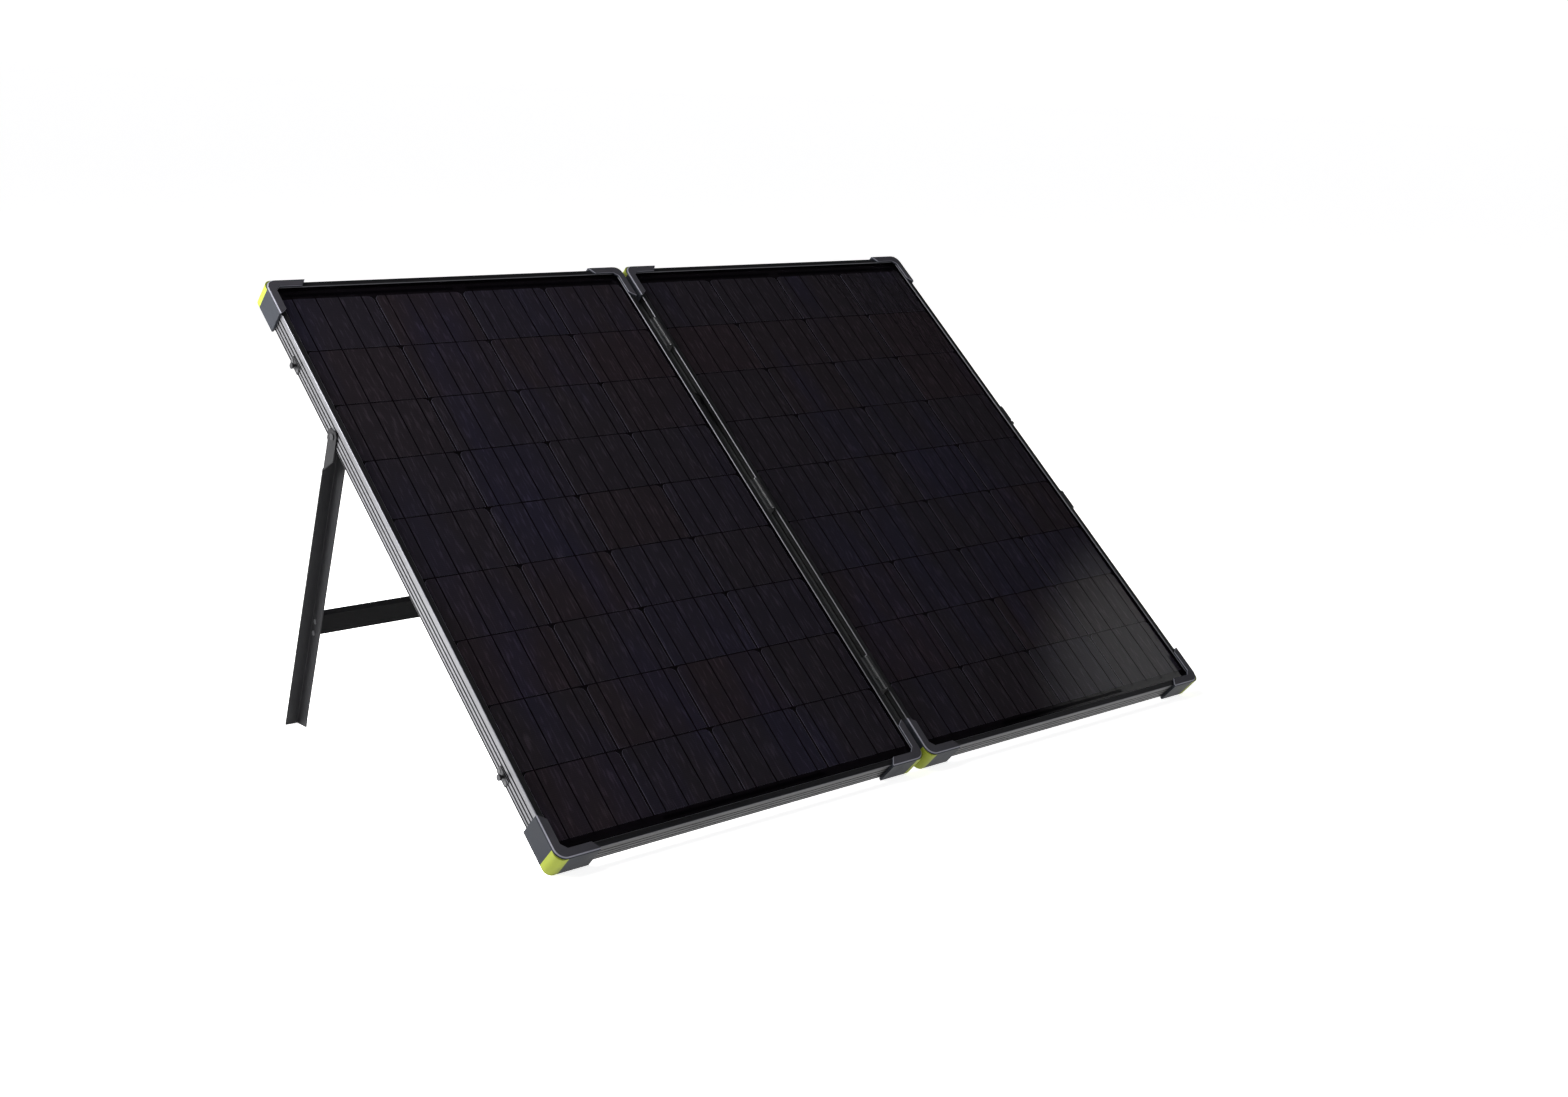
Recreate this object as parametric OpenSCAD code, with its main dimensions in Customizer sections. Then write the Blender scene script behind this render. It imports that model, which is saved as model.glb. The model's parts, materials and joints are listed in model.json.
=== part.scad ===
// Folding two-panel solar charger with corner guards, folding stands, handle and latches.
// Units are millimetres. +Z is up, +Y points to the back, X runs across both panels.
// The rest pose is the open, standing panel. Everything on a panel is drawn flat in its own
// frame (x across, y up the slope, z out of the glass) and then tilted onto its stand.

/* [Panel] */
// Width of one panel frame
frame_w = 668; // [500:1:800]
// Height of one panel frame, measured up the slope
frame_h = 1008; // [800:1:1200]
// Depth of the frame extrusion
frame_d = 33; // [28:0.5:45]
// Clear gap between the two frames at the hinge
hinge_gap = 16; // [12:0.5:24]
// Width of the frame lip around the glass
lip_w = 10; // [8:0.5:14]
// Thickness of the outer frame wall
wall_t = 1.8; // [1.4:0.1:3]
// Thickness of the front glass
glass_t = 3.2; // [2:0.1:4]
// Thickness of the cell layer with its encapsulant
cell_layer_t = 1.3; // [0.8:0.1:2]
// Thickness of the back sheet
backsheet_t = 0.6; // [0.3:0.1:1]

/* [Stand] */
// Tilt of the panels above the ground, in degrees
tilt = 40; // [20:1:60]
// Angle between a stand and its panel when it is open, in degrees
stand_angle = 65.5; // [40:0.5:80]
// Height of the stand pivots above the bottom of the frame
pivot_v = 724; // [600:1:800]
// Depth of the stand pivots behind the frame front
pivot_depth = 22; // [18:0.5:26]
// Width of the leg flange that faces the front
leg_w = 22; // [18:1:30]
// Depth of the leg flange that points forward
leg_depth = 26.5; // [20:0.5:30]
// Sheet thickness of the legs and crossbars
leg_t = 2; // [1.5:0.1:3]
// Distance from the pivots down to the top of the crossbar
crossbar_drop = 302; // [200:1:400]
// Height of the crossbar
crossbar_h = 42; // [30:1:50]

/* [Corner guards] */
// How far the guards stand out beyond the frame sides
guard_out = 4; // [2:0.5:6]
// How far the guards stand out in front of the frame
guard_front = 4; // [2:0.5:5]
// How far the guards stand out behind the frame
guard_back = 4.25; // [3:0.25:6]
// Length of each guard arm along the frame
guard_arm = 64; // [40:1:90]
// Outer corner radius of the guard walls
guard_r = 12; // [6:0.5:12]
// Outer corner radius of the guard front plate, and length of the coloured inserts
guard_front_r = 18; // [14:0.5:18]

/* [Handle and latches] */
// Spacing of the two handle brackets
handle_spacing = 210; // [160:1:260]
// Reach of the handle from its pivots to the middle of the grip
handle_reach = 28; // [24:1:40]
// Height of the latches above and below the frame middle
latch_offset = 362; // [300:1:420]
// Depth of the latch studs behind the frame front
latch_depth = 26.5; // [24:0.5:28]

/* [Hidden] */
$fn = 64;
eps = 0.01;
guard_bevel = 2.5;
guard_facet = 8;                        // slant of the arm ends and of the inner corner
insert_top = 1;                         // front of the inserts, in front of the frame
half_gap = hinge_gap / 2;
panel_x = half_gap + frame_w;           // outer side of either frame
lip_t = 1.5;                            // front lip over the glass
seat_x = wall_t + 0.8;                  // frame wall beside the laminate
shelf_z = -lip_t - glass_t - cell_layer_t - backsheet_t;
shelf_t = 1.5;
back_t = 1.6;
inner_t = 1.6;
slim_flange = 15;                       // back flange of the side rails
wide_flange = 30;                       // back flange of the top and bottom rails
groove_w = 2;
groove_d = 0.7;
groove_z = [-10.4, -17.7, -25, -31.2];
lip_bevel = 1;
edge_gap = 3.6;                         // laminate edge inside the frame groove
hinge_z = guard_front + 0.5;            // hinge axis in front of the frame
hinge_v = [150, 504, 858];
hinge_len = 60;
hinge_rivet_step = 20;                  // leaf rivets either side of the middle
hinge_rivet_z = -14;
knuckle_play = 0.2;
web_t = 1.6;                            // between a leaf and its knuckle
knuckle_r = 3;
pin_r = 1.5;
run_fit = 0.05;
leaf_deep = 24;
bolt_r = 2.5;
bolt_head_r = 5;
bolt_head_t = 1.4;
nut_af = 8;
ear_gap = 0.6;                          // side clearance between a leg ear and its frame
leg_back = -(frame_d - pivot_depth) - 0.5 - leg_t;   // back face of a leg, from its pivot
leg_front = leg_back + leg_depth;
ear_front = 11.5;
leg_top = 7.5;                          // start of the front-facing flange below the pivot
leg_reach = 540;                        // cut to the ground afterwards
bend_r = 3;
tab_t = 2;
rivet_r = 2;
rivet_head_r = 3;
rivet_head_t = 0.6;
rivet_len = 5;
big_rivet_r = 2.4;
plate_t = 1.5;                          // hinge leaves, stud plates and bracket bases
handle_v = frame_h / 2;
handle_axis_x = 9.2;                    // handle axis outside the frame side, clear of the leg
handle_axis_z = -9;
bracket_len = 34;
bracket_base = 54;
bracket_rivet_step = 22;
bracket_rivet_z = handle_axis_z - 3;
grip_len = 120;
grip_half = 6;
bail_t = 5;
bail_w = 6;
stub_r = 2.5;                           // pivot stubs of the bail
latch_v = [frame_h / 2 - latch_offset, frame_h / 2 + latch_offset];
arm_t = 2;
arm_in = 2.5;                           // inner face of a latch arm, off the frame side
arm_reach = 2 * (latch_depth + hinge_z);
stud_neck_r = 2.5;
stud_head_r = 4.5;
stud_top = 8;
stud_plate_l = 26;
stud_plate_h = 13;
stud_rivet_step = 9.5;
slot_r = 3;                             // slot of a latch hook
hole_pitch = 400;
hole_r = 3.5;
hole_in = 21;
key_in = 2.1;                           // corner key: off the frame side, width, arm, play
key_w = 6;
key_arm = 42;
key_play = 0.3;
bar_rivet_step = 10;                    // crossbar rivets above and below its middle
bar_rivet_z = -2;
bar_rivet_head_r = 4;
bar_rivet_head_t = 1.5;
box_w = 110;                            // junction box
box_h = 84;
box_d = 18;
box_v = 880;
box_wall = 3;
box_lid_t = 3;
box_hole_r = 4;
gland_x = 30;                           // cable glands: off the box middle, above the lid
gland_z = 9;
gland_spigot_r = 3.9;
gland_hex_t = 5;
gland_hex_r = 8;
gland_cap_t = 9;
gland_cap_r = 6.5;
gland_bore_r = 2.6;
ground_drop = guard_out * sin(tilt) + (frame_d + guard_back) * cos(tilt);
back_y = (frame_h + guard_out) * cos(tilt) + (frame_d + guard_back) * sin(tilt);
front_y = -guard_out * cos(tilt) - (guard_front - guard_bevel) * sin(tilt);
pivot_up = pivot_v * sin(tilt) - pivot_depth * cos(tilt) + ground_drop;
centre_x = (stud_top - handle_axis_x - grip_half) / 2;
black = [0.07, 0.07, 0.08];
dark = [0.2, 0.2, 0.21];
steel = [0.6, 0.6, 0.62];

// ---------- placing ----------

// From the flat panel frame to the standing object, centred over its footprint.
module stand_up() {
  translate([centre_x, -(back_y + front_y) / 2, ground_drop]) rotate([tilt, 0, 0])
    children();
}

// Local x starts at the outer side of the frame and runs towards the hinge.
module on_side(side) {
  stand_up() mirror([side == "right" ? 1 : 0, 0, 0]) translate([-panel_x, 0, 0]) children();
}

module flip_x() { translate([frame_w, 0, 0]) mirror([1, 0, 0]) children(); }
module flip_y() { translate([0, frame_h, 0]) mirror([0, 1, 0]) children(); }

// A cylinder along local x.
module bar_x(r, x0, x1) { translate([x0, 0, 0]) rotate([0, 90, 0]) cylinder(h = x1 - x0, r = r); }

// Stand parts are drawn folded (legs along -y) about their pivot and then swung open.
module on_stand() {
  translate([0, pivot_v, -pivot_depth]) rotate([stand_angle, 0, 0]) children();
}

// ---------- frame extrusions ----------

module rail_profile(flange) {
  difference() {
    polygon([[0, -lip_bevel], [lip_bevel, 0], [lip_w - lip_bevel, 0], [lip_w, -lip_bevel],
      [lip_w, -lip_t], [seat_x, -lip_t], [seat_x, shelf_z], [lip_w, shelf_z],
      [lip_w, -frame_d + back_t], [flange, -frame_d + back_t], [flange, -frame_d],
      [0, -frame_d]]);
    translate([wall_t, -frame_d + back_t])
      square([lip_w - wall_t - inner_t, frame_d - back_t + shelf_z - shelf_t]);
    for (z = groove_z) translate([-1, z - groove_w / 2]) square([1 + groove_d, groove_w]);
  }
}

module side_rail() {
  intersection() {
    translate([0, frame_h + 1, 0]) rotate([90, 0, 0])
      linear_extrude(frame_h + 2) rail_profile(slim_flange);
    translate([0, 0, -frame_d - 1]) linear_extrude(frame_d + 2)
      polygon([[-1, -1], [-1, frame_h + 1], [20, frame_h - 20], [20, 20]]);
  }
}

module end_rail() {
  difference() {
    intersection() {
      translate([-1, 0, 0]) rotate([90, 0, 90]) linear_extrude(frame_w + 2)
        rail_profile(wide_flange);
      translate([0, 0, -frame_d - 1]) linear_extrude(frame_d + 2)
        polygon([[-1, -1], [frame_w + 1, -1], [frame_w - 32, 32], [32, 32]]);
    }
    for (s = [-1, 1]) translate([frame_w / 2 + s * hole_pitch / 2, hole_in, -frame_d - 1])
      cylinder(h = 4, r = hole_r);
  }
}

// Pivot bolt holes through both walls of a side rail.
module pivot_holes() {
  translate([0, pivot_v, -pivot_depth]) bar_x(bolt_r + run_fit, -1, lip_w + 1);
}

module hinge_rivet_spots() {
  for (v = hinge_v) for (s = [-1, 1])
    translate([0, v + s * hinge_rivet_step, hinge_rivet_z]) children();
}

module latch_rivet_spots() {
  for (v = latch_v) for (s = [-1, 1])
    translate([0, v + s * stud_rivet_step, -latch_depth]) children();
}

module bracket_rivet_spots() {
  for (s = [-1, 1]) for (t = [-1, 1])
    translate([0, handle_v + s * handle_spacing / 2 + t * bracket_rivet_step, bracket_rivet_z])
      children();
}

module rivet_hole() { bar_x(rivet_r + run_fit, -3, 3); }

// Head on the outside of a plate of thickness plate_t, shank through the frame wall.
module rivet() {
  bar_x(rivet_r, -plate_t, rivet_len - plate_t);
  bar_x(rivet_head_r, -plate_t - rivet_head_t, -plate_t);
}

module drilled_outer_rail(side) {
  difference() {
    side_rail();
    pivot_holes();
    latch_rivet_spots() rivet_hole();
    if (side == "right") bracket_rivet_spots() rivet_hole();
  }
}

module drilled_hinge_rail() {
  flip_x() difference() {
    side_rail();
    pivot_holes();
    hinge_rivet_spots() rivet_hole();
  }
}

module seal_ring() {
  translate([0, 0, shelf_z]) linear_extrude(-lip_t - shelf_z) difference() {
    translate([seat_x, seat_x]) square([frame_w - 2 * seat_x, frame_h - 2 * seat_x]);
    translate([edge_gap, edge_gap]) square([frame_w - 2 * edge_gap, frame_h - 2 * edge_gap]);
  }
}

module sheet(z0, t) {
  translate([edge_gap, edge_gap, z0])
    cube([frame_w - 2 * edge_gap, frame_h - 2 * edge_gap, t]);
}

module corner_key() {
  translate([key_in, key_in, -frame_d + back_t + key_play])
    linear_extrude(frame_d - back_t + shelf_z - shelf_t - 2 * key_play) difference() {
      square(key_arm - key_in);
      translate([key_w, key_w]) square(key_arm);
    }
}

module key_set() {
  corner_key();
  flip_x() corner_key();
  flip_y() corner_key();
  flip_x() flip_y() corner_key();
}

// ---------- junction box ----------

module box_shell() {
  translate([frame_w / 2, box_v, shelf_z - box_d]) difference() {
    translate([-box_w / 2, -box_h / 2, 0]) cube([box_w, box_h, box_d]);
    translate([-box_w / 2 + box_wall, -box_h / 2 + box_wall, -1])
      cube([box_w - 2 * box_wall, box_h - 2 * box_wall, box_d - 2]);
    for (s = [-1, 1]) translate([s * gland_x, -box_h / 2 + box_wall + 1, gland_z])
      rotate([90, 0, 0]) cylinder(h = box_wall + 3, r = box_hole_r);
  }
}

// The lid has a raised rim that locates inside the box.
module box_lid() {
  rim = box_wall + 1;
  translate([frame_w / 2, box_v, shelf_z - box_d - box_lid_t]) {
    translate([-box_w / 2, -box_h / 2, 0]) cube([box_w, box_h, box_lid_t]);
    translate([-box_w / 2 + rim, -box_h / 2 + rim, box_lid_t - eps])
      cube([box_w - 2 * rim, box_h - 2 * rim, 2]);
  }
}

// Two cable glands on the lower side of the junction box.
module gland_pair() {
  for (s = [-1, 1])
    translate([frame_w / 2 + s * gland_x, box_v - box_h / 2, shelf_z - box_d + gland_z])
      rotate([90, 0, 0]) difference() {
        union() {
          translate([0, 0, -box_wall - 1]) cylinder(h = box_wall + 3, r = gland_spigot_r);
          cylinder(h = gland_hex_t, r = gland_hex_r, $fn = 6);
          translate([0, 0, gland_hex_t - eps]) cylinder(h = gland_cap_t, r = gland_cap_r);
        }
        translate([0, 0, -5]) cylinder(h = 20, r = gland_bore_r);
      }
}

// ---------- corner guards ----------

// Drawn for the corner at the local origin, arms along +x and +y.
module guard_corner(r) {
  c = r - guard_out;
  intersection() {
    translate([c, c]) circle(r = r);
    translate([-guard_out - 1, -guard_out - 1]) square(r + 1);
  }
}

// One arm of a guard plate, with its slanted end.
module guard_arm_plan(c) {
  polygon([[-guard_out, c], [-guard_out, guard_arm], [-1, guard_arm],
    [lip_w, guard_arm - guard_facet], [lip_w, c]]);
}

module guard_plan(r) {
  c = r - guard_out;
  guard_corner(r);
  guard_arm_plan(c);
  mirror([1, -1]) guard_arm_plan(c);
  polygon([[lip_w - 1, lip_w - 1], [lip_w + guard_facet, lip_w - 1],
    [lip_w + guard_facet, lip_w], [lip_w, lip_w + guard_facet],
    [lip_w - 1, lip_w + guard_facet]]);
}

module guard_wall_plan() {
  difference() {
    union() {
      guard_corner(guard_r);
      translate([-guard_out, guard_r - guard_out])
        square([lip_w + guard_out, guard_arm - guard_r + guard_out]);
      translate([guard_r - guard_out, -guard_out])
        square([guard_arm - guard_r + guard_out, lip_w + guard_out]);
    }
    square(100);
  }
}

module insert_plan() {
  intersection() {
    guard_wall_plan();
    translate([-guard_out - 1, -guard_out - 1]) square(guard_front_r + 1);
  }
}

// Bevel round the outer front edge of a guard.
module guard_bevels() {
  c = guard_front_r - guard_out;
  edge = [[-1, guard_front - guard_bevel - 1], [guard_bevel + 1, guard_front + 1],
    [-1, guard_front + 1]];
  across = [for (p = edge) [p[0] - guard_out, p[1]]];
  translate([0, guard_arm + 1, 0]) rotate([90, 0, 0]) linear_extrude(guard_arm + 1 - c)
    polygon(across);
  translate([c, 0, 0]) rotate([90, 0, 90]) linear_extrude(guard_arm + 1 - c)
    polygon(across);
  translate([c, c, 0]) intersection() {
    rotate_extrude() polygon([for (p = edge) [guard_front_r - p[0], p[1]]]);
    translate([-20, -20, -5]) cube([20, 20, 20]);
  }
}

module guard() {
  difference() {
    union() {
      linear_extrude(guard_front) guard_plan(guard_front_r);
      translate([0, 0, -frame_d]) linear_extrude(frame_d) guard_wall_plan();
      translate([0, 0, -frame_d - guard_back]) linear_extrude(guard_back)
        guard_plan(guard_r);
    }
    translate([0, 0, -frame_d - guard_back - 1])
      linear_extrude(frame_d + guard_back + 1 + insert_top) insert_plan();
    translate([0, 0, -eps]) linear_extrude(insert_top + eps) guard_corner(guard_r);
    guard_bevels();
  }
}

// Coloured corner piece: a wall round the corner, and a thin cap over the frame corner.
module guard_insert() {
  translate([0, 0, -frame_d - guard_back]) linear_extrude(frame_d + guard_back + insert_top)
    insert_plan();
  linear_extrude(insert_top) guard_corner(guard_r);
}

module insert_set() {
  guard_insert();
  flip_x() guard_insert();
  flip_y() guard_insert();
  flip_x() flip_y() guard_insert();
}

// ---------- stands ----------

// Sheet bend between a and b degrees, centre c, outer radius bend_r, five steps.
function arc(c, r, a, b) = [for (i = [0:5]) c + r * [cos(a + (b - a) * i / 5),
  sin(a + (b - a) * i / 5)]];

leg_x0 = -ear_gap - leg_t;
leg_x1 = leg_x0 + leg_w;
in_c = [leg_x1 - bend_r, leg_back + bend_r];
out_c = [leg_x0 + bend_r, leg_back + bend_r];

module leg_profile(ear) {
  polygon(concat(
    ear ? concat([[leg_x0 + leg_t, ear_front], [leg_x0, ear_front]],
      arc(out_c, bend_r, 180, 270)) : [[leg_x0, leg_back + leg_t], [leg_x0, leg_back]],
    arc(in_c, bend_r, -90, 0),
    [[leg_x1, leg_front], [leg_x1 - leg_t, leg_front]],
    arc(in_c, bend_r - leg_t, 0, -90),
    ear ? arc(out_c, bend_r - leg_t, 270, 180) : []));
}

// A length of leg profile between two stations below the pivot.
module leg_run(s0, s1, ear) {
  translate([0, -s0, 0]) rotate([90, 0, 0]) linear_extrude(s1 - s0) leg_profile(ear);
}

module below_ground() {
  rotate([-tilt - stand_angle, 0, 0]) translate([-50, -600, -pivot_up - 300])
    cube([100, 1200, 300]);
}

module bar_rivet_spots() {
  for (s = [-1, 1])
    translate([0, -crossbar_drop - crossbar_h / 2 + s * bar_rivet_step, bar_rivet_z])
      children();
}

module leg_angle() {
  on_stand() difference() {
    union() {
      leg_run(leg_top, 58, true);
      leg_run(57, leg_reach, false);
      translate([leg_x0, 0, 0]) rotate([90, 0, 90]) linear_extrude(leg_t)
        // ear, seen from the side
        polygon([[-leg_top - 4, leg_back + bend_r], [-leg_top, leg_back], [5, leg_back],
          [9.5, leg_back + 4.5], [9.5, ear_front - 3.5], [4, ear_front],
          [-leg_top - 4, ear_front]]);
    }
    // slanted lower end of the ear
    translate([leg_x0 - 1, 0, 0]) rotate([90, 0, 90]) linear_extrude(leg_t + 1.5)
      polygon([[-34, ear_front + 1], [-59, leg_back + bend_r], [-70, leg_back + bend_r],
        [-70, ear_front + 1]]);
    bar_x(bolt_r + run_fit, leg_x0 - 1, 0);
    bar_rivet_spots() bar_x(big_rivet_r + run_fit, leg_x1 - leg_t - 1, leg_x1 + 1);
    below_ground();
    // top of the forward flange stays clear of the back sheet
    translate([leg_x1 - leg_t - 1, -leg_top - 8, 5]) rotate([45, 0, 0])
      cube([leg_t + 2, 20, 30]);
  }
}

module bar_with_tabs() {
  x0 = leg_x1;
  x1 = frame_w - leg_x1;
  on_stand() difference() {
    union() {
      translate([x0, -crossbar_drop - crossbar_h, leg_back]) cube([x1 - x0, crossbar_h, leg_t]);
      translate([x0, -crossbar_drop - leg_t, leg_back]) cube([x1 - x0, leg_t, 15]);
      translate([x0, -crossbar_drop - crossbar_h + 4, leg_back])
        cube([tab_t, crossbar_h - 4, 21]);
      translate([x1 - tab_t, -crossbar_drop - crossbar_h + 4, leg_back])
        cube([tab_t, crossbar_h - 4, 21]);
    }
    bar_rivet_spots() {
      bar_x(big_rivet_r + run_fit, x0 - 1, x0 + tab_t + 1);
      bar_x(big_rivet_r + run_fit, x1 - tab_t - 1, x1 + 1);
    }
  }
}

module stand_rivet() {
  bar_x(big_rivet_r, leg_x1 - leg_t, leg_x1 + tab_t);
  bar_x(bar_rivet_head_r, leg_x1 - leg_t - bar_rivet_head_t, leg_x1 - leg_t);
  bar_x(bar_rivet_head_r, leg_x1 + tab_t, leg_x1 + tab_t + bar_rivet_head_t);
}

module rivet_set() {
  on_stand() bar_rivet_spots() {
    stand_rivet();
    flip_x() stand_rivet();
  }
}

module pivot_bolt() {
  translate([0, pivot_v, -pivot_depth]) {
    bar_x(bolt_r, leg_x0 - 0.1, lip_w + 5.5);
    bar_x(bolt_head_r, leg_x0 - 0.1 - bolt_head_t, leg_x0 - 0.1);
  }
}

module pivot_nut() {
  translate([lip_w, pivot_v, -pivot_depth]) rotate([0, 90, 0]) difference() {
    cylinder(h = 4, r = nut_af / 2 / cos(30), $fn = 6);
    translate([0, 0, -1]) cylinder(h = 6, r = bolt_r + run_fit);
  }
}

// ---------- hinges, in panel coordinates about the hinge line ----------

// One leaf on the frame at -x. The outer knuckles belong to the left leaf.
module hinge_leaf(outer) {
  third = hinge_len / 3;
  knuckle_len = third - 2 * knuckle_play;
  for (v = hinge_v) translate([0, v, 0]) difference() {
    union() {
      translate([-half_gap, -hinge_len / 2, -leaf_deep])
        cube([plate_t, hinge_len, leaf_deep + hinge_z - 1]);
      for (k = outer ? [-1, 1] : [0]) translate([0, (k - 0.5) * third + knuckle_play, 0]) {
        translate([-half_gap, 0, hinge_z - 1 - web_t]) cube([half_gap, knuckle_len, web_t]);
        translate([0, 0, hinge_z]) rotate([-90, 0, 0])
          cylinder(h = knuckle_len, r = knuckle_r);
      }
    }
    translate([0, -hinge_len, hinge_z]) rotate([-90, 0, 0])
      cylinder(h = 2 * hinge_len, r = pin_r + run_fit);
    for (s = [-1, 1]) translate([-half_gap, s * hinge_rivet_step, hinge_rivet_z])
      bar_x(rivet_r + run_fit, -1, plate_t + 1);
  }
}

module pin_set() {
  for (v = hinge_v) translate([0, v - hinge_len / 2 - 0.8, hinge_z]) rotate([-90, 0, 0])
    cylinder(h = hinge_len + 1.6, r = pin_r);
}

// ---------- handle, drawn on the outer side of the right panel ----------

module handle_bracket(s) {
  y0 = handle_v + s * handle_spacing / 2;
  translate([0, y0, 0]) difference() {
    union() {
      translate([-plate_t, -bracket_base / 2, handle_axis_z - 9])
        cube([plate_t, bracket_base, 14]);
      translate([0, bracket_len / 2, 0]) rotate([90, 0, 0]) linear_extrude(bracket_len)
        // block, seen along its pivot, from the frame side outwards
        polygon([[0, -3.5], [-7.5, -3.5], [-11, -5.5], [-13, -9], [-13, -17], [-10, -20],
          [0, -20]]);
    }
    // sloped ends
    for (t = [-1, 1]) translate([0, t * bracket_len / 2, -30]) linear_extrude(40)
      polygon([[-5, t], [-20, t], [-20, -6 * t], [-14, -4 * t]]);
    translate([-handle_axis_x, -s * (bracket_len / 2 + 1), handle_axis_z])
      rotate([-s * 90, 0, 0]) cylinder(h = 29, r = stub_r + run_fit);
    for (t = [-1, 1]) translate([0, t * bracket_rivet_step, bracket_rivet_z])
      bar_x(rivet_r + run_fit, -plate_t - 1, 1);
  }
}

// Flat-bar bail with a pivot stub into each bracket.
module bail() {
  arm_y = handle_spacing / 2 - bracket_len / 2 - 4;
  h = bail_w / 2;
  translate([-handle_axis_x, handle_v, handle_axis_z]) {
    translate([-bail_t / 2, 0, 0]) rotate([90, 0, 90]) linear_extrude(bail_t) difference() {
      polygon([[-arm_y - h, 3.5], [-arm_y - h, -handle_reach + 2], [-arm_y + h,
        -handle_reach - h], [arm_y - h, -handle_reach - h], [arm_y + h, -handle_reach + 2],
        [arm_y + h, 3.5]]);
      translate([-arm_y + h, -handle_reach + h])
        square([2 * (arm_y - h), handle_reach + 10]);
    }
    for (s = [-1, 1]) translate([0, s * arm_y, 0]) rotate([-s * 90, 0, 0])
      cylinder(h = 28, r = stub_r);
  }
}

module grip() {
  translate([-handle_axis_x, handle_v, handle_axis_z - handle_reach]) difference() {
    translate([0, grip_len / 2, 0]) rotate([90, 0, 0]) linear_extrude(grip_len)
      polygon([[-grip_half, -3.5], [-4.5, -6], [4.5, -6], [grip_half, -3.5],
        [grip_half, 3.5], [4.5, 6], [-4.5, 6], [-grip_half, 3.5]]);
    translate([-bail_t / 2, -grip_len, -bail_w / 2]) cube([bail_t, 2 * grip_len, bail_w]);
  }
}

// ---------- latches ----------

module stud_plate() {
  difference() {
    union() {
      translate([-plate_t, -stud_plate_l / 2, -stud_plate_h / 2])
        cube([plate_t, stud_plate_l, stud_plate_h]);
      bar_x(stud_neck_r, -stud_top + 1, 0);
      bar_x(stud_head_r, -stud_top, -arm_in - arm_t - 0.5);
    }
    for (s = [-1, 1]) translate([0, s * stud_rivet_step, 0])
      bar_x(rivet_r + run_fit, -plate_t - 1, 1);
  }
}

module stud_plates() {
  for (v = latch_v) translate([0, v, -latch_depth]) stud_plate();
}

// Drawn at the pivot with the arm along +y; the hook opens towards +z.
module latch_arm() {
  translate([-arm_in - arm_t, 0, 0]) rotate([90, 0, 90]) linear_extrude(arm_t)
    difference() {
      polygon([[-6, -3.5], [-3.5, -6], [arm_reach + 5.5, -6], [arm_reach + 7, -4.5],
        [arm_reach + 7, 3.5], [arm_reach + 4.5, 6], [-3.5, 6], [-6, 3.5]]);
      circle(r = stud_neck_r + run_fit);
      translate([arm_reach, 0]) circle(r = slot_r);
      translate([arm_reach - slot_r, 0]) square([2 * slot_r, 10]);
    }
}

// ---------- nodes ----------

module frame_outer_rail(side) { color(black) on_side(side) drilled_outer_rail(side); }
module frame_hinge_rail(side) { color(black) on_side(side) drilled_hinge_rail(); }
module frame_top_rail(side) { color(black) on_side(side) flip_y() end_rail(); }
module frame_bottom_rail(side) { color(black) on_side(side) end_rail(); }
module glass(side) { color([0.1, 0.1, 0.14, 0.4]) on_side(side) sheet(-lip_t - glass_t, glass_t); }
module cell_layer(side) {
  color([0.04, 0.03, 0.08]) on_side(side) sheet(shelf_z + backsheet_t, cell_layer_t);
}
module backsheet(side) { color([0.9, 0.9, 0.9]) on_side(side) sheet(shelf_z, backsheet_t); }
module edge_seal(side) { color(black) on_side(side) seal_ring(); }
module corner_keys(side) { color(steel) on_side(side) key_set(); }
module junction_box(side) { color(black) on_side(side) box_shell(); }
module junction_box_lid(side) { color(dark) on_side(side) box_lid(); }
module cable_glands(side) { color(black) on_side(side) gland_pair(); }
module guard_top_outer(side) { color(dark) on_side(side) flip_y() guard(); }
module guard_top_hinge(side) { color(dark) on_side(side) flip_y() flip_x() guard(); }
module guard_bottom_outer(side) { color(dark) on_side(side) guard(); }
module guard_bottom_hinge(side) { color(dark) on_side(side) flip_x() guard(); }
module guard_inserts(side) { color([0.7, 0.8, 0.2]) on_side(side) insert_set(); }
module rivets(side) {
  color(steel) on_side(side) {
    latch_rivet_spots() rivet();
    if (side == "right") bracket_rivet_spots() rivet();
    flip_x() hinge_rivet_spots() rivet();
  }
}
module pivot_bolts(side) {
  color(steel) on_side(side) { pivot_bolt(); flip_x() pivot_bolt(); }
}
module pivot_nuts(side) {
  color(steel) on_side(side) { pivot_nut(); flip_x() pivot_nut(); }
}
module leg_outer(side) { color(black) on_side(side) leg_angle(); }
module leg_hinge(side) { color(black) on_side(side) flip_x() leg_angle(); }
module crossbar(side) { color(black) on_side(side) bar_with_tabs(); }
module stand_rivets(side) { color(steel) on_side(side) rivet_set(); }

module hinge_leaves_left() { color(black) stand_up() hinge_leaf(true); }
module hinge_leaves_right() { color(black) stand_up() mirror([1, 0, 0]) hinge_leaf(false); }
module hinge_pins() { color(steel) stand_up() pin_set(); }
module handle_brackets() {
  color(black) on_side("right") { handle_bracket(-1); handle_bracket(1); }
}
module handle_bail() { color(steel) on_side("right") bail(); }
module handle_grip() { color(dark) on_side("right") grip(); }
module latch_keepers() { color(black) on_side("left") stud_plates(); }
module latch_bases() { color(black) on_side("right") stud_plates(); }
module latch_arm_upper() {
  color(black) on_side("right") translate([0, latch_v[1], -latch_depth]) mirror([0, 1, 0])
    latch_arm();
}
module latch_arm_lower() {
  color(black) on_side("right") translate([0, latch_v[0], -latch_depth]) latch_arm();
}

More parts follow.
